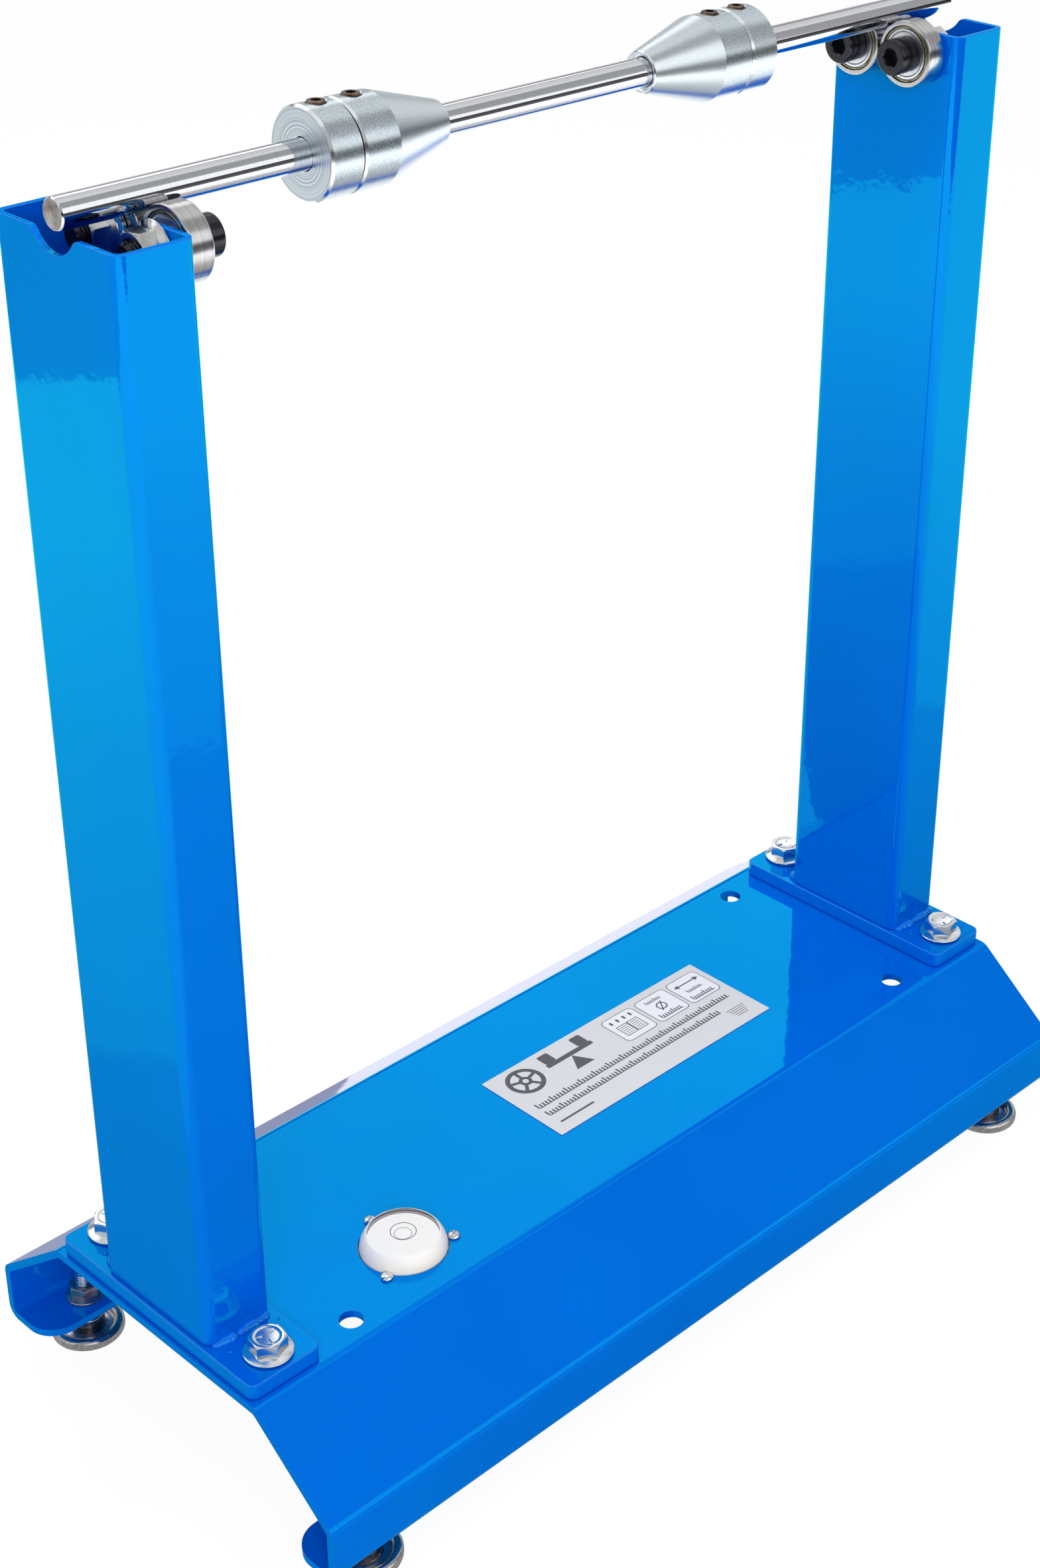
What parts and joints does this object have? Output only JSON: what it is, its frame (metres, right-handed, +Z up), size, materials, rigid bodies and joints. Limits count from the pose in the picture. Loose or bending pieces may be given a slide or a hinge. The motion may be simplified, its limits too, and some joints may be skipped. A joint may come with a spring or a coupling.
{
  "type": "motorcycle wheel balancer",
  "caption": "Bench stand for balancing a motorcycle wheel: a bent sheet base on levelling feet, upright posts, ball bearings and a free-turning shaft with clamping cones.",
  "frame": {"origin": "centre of the bounding box at floor level, under the middle of the base", "axes": "+X along the shaft, +Z up; the round level lies towards -X and -Y"},
  "size_m": [0.4, 0.1906, 0.4772],
  "materials": {
    "base_channel": "gloss enamel",
    "rating_label": "satin foil",
    "left_post_plate": "gloss enamel",
    "left_post": "gloss enamel",
    "right_post_plate": "gloss enamel",
    "right_post": "gloss enamel",
    "left_front_plate_bolt": "bright zinc plate",
    "left_front_plate_nut": "bright zinc plate",
    "left_front_cap_screw": "black oxide",
    "left_front_bearing_outer_ring": "ground",
    "left_front_bearing_inner_ring": "ground",
    "left_front_bearing_spacer": "bright zinc plate",
    "left_front_lock_nut": "bright zinc plate",
    "left_back_plate_bolt": "bright zinc plate",
    "left_back_plate_nut": "bright zinc plate",
    "left_back_cap_screw": "black oxide",
    "left_back_bearing_outer_ring": "ground",
    "left_back_bearing_inner_ring": "ground",
    "left_back_bearing_spacer": "bright zinc plate",
    "left_back_lock_nut": "bright zinc plate",
    "right_front_plate_bolt": "bright zinc plate",
    "right_front_plate_nut": "bright zinc plate",
    "right_front_cap_screw": "black oxide",
    "right_front_bearing_outer_ring": "ground",
    "right_front_bearing_inner_ring": "ground",
    "right_front_bearing_spacer": "bright zinc plate",
    "right_front_lock_nut": "bright zinc plate",
    "right_back_plate_bolt": "bright zinc plate",
    "right_back_plate_nut": "bright zinc plate",
    "right_back_cap_screw": "black oxide",
    "right_back_bearing_outer_ring": "ground",
    "right_back_bearing_inner_ring": "ground",
    "right_back_bearing_spacer": "bright zinc plate",
    "right_back_lock_nut": "bright zinc plate",
    "shaft": "polished",
    "left_collar": "bright zinc plate",
    "left_cone": "bright zinc plate",
    "left_collar_grub_screw": "yellow zinc plate",
    "left_cone_grub_screw": "yellow zinc plate",
    "right_collar": "bright zinc plate",
    "right_cone": "bright zinc plate",
    "right_collar_grub_screw": "yellow zinc plate",
    "right_cone_grub_screw": "yellow zinc plate",
    "level_cup": "gloss",
    "level_dome": "clear plastic",
    "level_screw_1": "bright zinc plate",
    "level_screw_2": "bright zinc plate",
    "level_screw_3": "bright zinc plate",
    "left_front_foot_disc": "polished",
    "left_front_foot_stud": "bright zinc plate",
    "left_front_foot_nut": "yellow zinc plate",
    "left_back_foot_disc": "polished",
    "left_back_foot_stud": "bright zinc plate",
    "left_back_foot_nut": "yellow zinc plate",
    "right_front_foot_disc": "polished",
    "right_front_foot_stud": "bright zinc plate",
    "right_front_foot_nut": "yellow zinc plate",
    "right_back_foot_disc": "polished",
    "right_back_foot_stud": "bright zinc plate",
    "right_back_foot_nut": "yellow zinc plate"
  },
  "bodies": {
    "base": {"base_channel": "base_channel", "rating_label": "rating_label", "left_post_plate": "left_post_plate", "left_post": "left_post", "right_post_plate": "right_post_plate", "right_post": "right_post", "left_front_plate_bolt": "left_front_plate_bolt", "left_front_plate_nut": "left_front_plate_nut", "left_front_cap_screw": "left_front_cap_screw", "left_front_bearing_inner_ring": "left_front_bearing_inner_ring", "left_front_bearing_spacer": "left_front_bearing_spacer", "left_front_lock_nut": "left_front_lock_nut", "left_back_plate_bolt": "left_back_plate_bolt", "left_back_plate_nut": "left_back_plate_nut", "left_back_cap_screw": "left_back_cap_screw", "left_back_bearing_inner_ring": "left_back_bearing_inner_ring", "left_back_bearing_spacer": "left_back_bearing_spacer", "left_back_lock_nut": "left_back_lock_nut", "right_front_plate_bolt": "right_front_plate_bolt", "right_front_plate_nut": "right_front_plate_nut", "right_front_cap_screw": "right_front_cap_screw", "right_front_bearing_inner_ring": "right_front_bearing_inner_ring", "right_front_bearing_spacer": "right_front_bearing_spacer", "right_front_lock_nut": "right_front_lock_nut", "right_back_plate_bolt": "right_back_plate_bolt", "right_back_plate_nut": "right_back_plate_nut", "right_back_cap_screw": "right_back_cap_screw", "right_back_bearing_inner_ring": "right_back_bearing_inner_ring", "right_back_bearing_spacer": "right_back_bearing_spacer", "right_back_lock_nut": "right_back_lock_nut", "level_cup": "level_cup", "level_dome": "level_dome", "level_screw_1": "level_screw_1", "level_screw_2": "level_screw_2", "level_screw_3": "level_screw_3", "left_front_foot_nut": "left_front_foot_nut", "left_back_foot_nut": "left_back_foot_nut", "right_front_foot_nut": "right_front_foot_nut", "right_back_foot_nut": "right_back_foot_nut"},
    "shaft": {"shaft": "shaft"},
    "left_front_bearing": {"left_front_bearing_outer_ring": "left_front_bearing_outer_ring"},
    "left_back_bearing": {"left_back_bearing_outer_ring": "left_back_bearing_outer_ring"},
    "right_front_bearing": {"right_front_bearing_outer_ring": "right_front_bearing_outer_ring"},
    "right_back_bearing": {"right_back_bearing_outer_ring": "right_back_bearing_outer_ring"},
    "left_cone": {"left_cone": "left_cone"},
    "left_collar": {"left_collar": "left_collar"},
    "left_cone_grub_screw": {"left_cone_grub_screw": "left_cone_grub_screw"},
    "left_collar_grub_screw": {"left_collar_grub_screw": "left_collar_grub_screw"},
    "right_cone": {"right_cone": "right_cone"},
    "right_collar": {"right_collar": "right_collar"},
    "right_cone_grub_screw": {"right_cone_grub_screw": "right_cone_grub_screw"},
    "right_collar_grub_screw": {"right_collar_grub_screw": "right_collar_grub_screw"},
    "left_front_foot": {"left_front_foot_disc": "left_front_foot_disc", "left_front_foot_stud": "left_front_foot_stud"},
    "left_back_foot": {"left_back_foot_disc": "left_back_foot_disc", "left_back_foot_stud": "left_back_foot_stud"},
    "right_front_foot": {"right_front_foot_disc": "right_front_foot_disc", "right_front_foot_stud": "right_front_foot_stud"},
    "right_back_foot": {"right_back_foot_disc": "right_back_foot_disc", "right_back_foot_stud": "right_back_foot_stud"}
  },
  "joints": [
    {"name": "shaft_spin", "type": "hinge", "parent": "base", "child": "shaft", "pos_m": [0, 0, 0.462], "axis": [1, 0, 0], "continuous": true},
    {"name": "left_front_bearing_spin", "type": "hinge", "parent": "base", "child": "left_front_bearing", "pos_m": [-0.1644, -0.0123, 0.44983], "axis": [1, 0, 0], "continuous": true},
    {"name": "left_back_bearing_spin", "type": "hinge", "parent": "base", "child": "left_back_bearing", "pos_m": [-0.1644, 0.0123, 0.44983], "axis": [1, 0, 0], "continuous": true},
    {"name": "right_front_bearing_spin", "type": "hinge", "parent": "base", "child": "right_front_bearing", "pos_m": [0.1644, -0.0123, 0.44983], "axis": [1, 0, 0], "continuous": true},
    {"name": "right_back_bearing_spin", "type": "hinge", "parent": "base", "child": "right_back_bearing", "pos_m": [0.1644, 0.0123, 0.44983], "axis": [1, 0, 0], "continuous": true},
    {"name": "left_cone_slide", "type": "slide", "parent": "shaft", "child": "left_cone", "axis": [1, 0, 0], "range_m": [-0.022, 0.042]},
    {"name": "left_collar_slide", "type": "slide", "parent": "left_cone", "child": "left_collar", "axis": [1, 0, 0], "range_m": [-0.02, 0]},
    {"name": "left_cone_grub_screw_travel", "type": "slide", "parent": "left_cone", "child": "left_cone_grub_screw", "axis": [0, 0, 1], "range_m": [0, 0.003]},
    {"name": "left_collar_grub_screw_travel", "type": "slide", "parent": "left_collar", "child": "left_collar_grub_screw", "axis": [0, 0, 1], "range_m": [0, 0.003]},
    {"name": "right_cone_slide", "type": "slide", "parent": "shaft", "child": "right_cone", "axis": [1, 0, 0], "range_m": [-0.042, 0.042]},
    {"name": "right_collar_slide", "type": "slide", "parent": "right_cone", "child": "right_collar", "axis": [1, 0, 0], "range_m": [0, 0.02]},
    {"name": "right_cone_grub_screw_travel", "type": "slide", "parent": "right_cone", "child": "right_cone_grub_screw", "axis": [0, 0, 1], "range_m": [0, 0.003]},
    {"name": "right_collar_grub_screw_travel", "type": "slide", "parent": "right_collar", "child": "right_collar_grub_screw", "axis": [0, 0, 1], "range_m": [0, 0.003]},
    {"name": "left_front_foot_travel", "type": "slide", "parent": "base", "child": "left_front_foot", "axis": [0, 0, 1], "range_m": [-0.006, 0]},
    {"name": "left_back_foot_travel", "type": "slide", "parent": "base", "child": "left_back_foot", "axis": [0, 0, 1], "range_m": [-0.006, 0]},
    {"name": "right_front_foot_travel", "type": "slide", "parent": "base", "child": "right_front_foot", "axis": [0, 0, 1], "range_m": [-0.006, 0]},
    {"name": "right_back_foot_travel", "type": "slide", "parent": "base", "child": "right_back_foot", "axis": [0, 0, 1], "range_m": [-0.006, 0]}
  ],
  "couplings": [
    {"joint": "left_front_bearing_spin", "follows": "shaft_spin", "ratio": -0.41667},
    {"joint": "left_back_bearing_spin", "follows": "shaft_spin", "ratio": -0.41667},
    {"joint": "right_front_bearing_spin", "follows": "shaft_spin", "ratio": -0.41667},
    {"joint": "right_back_bearing_spin", "follows": "shaft_spin", "ratio": -0.41667}
  ]
}
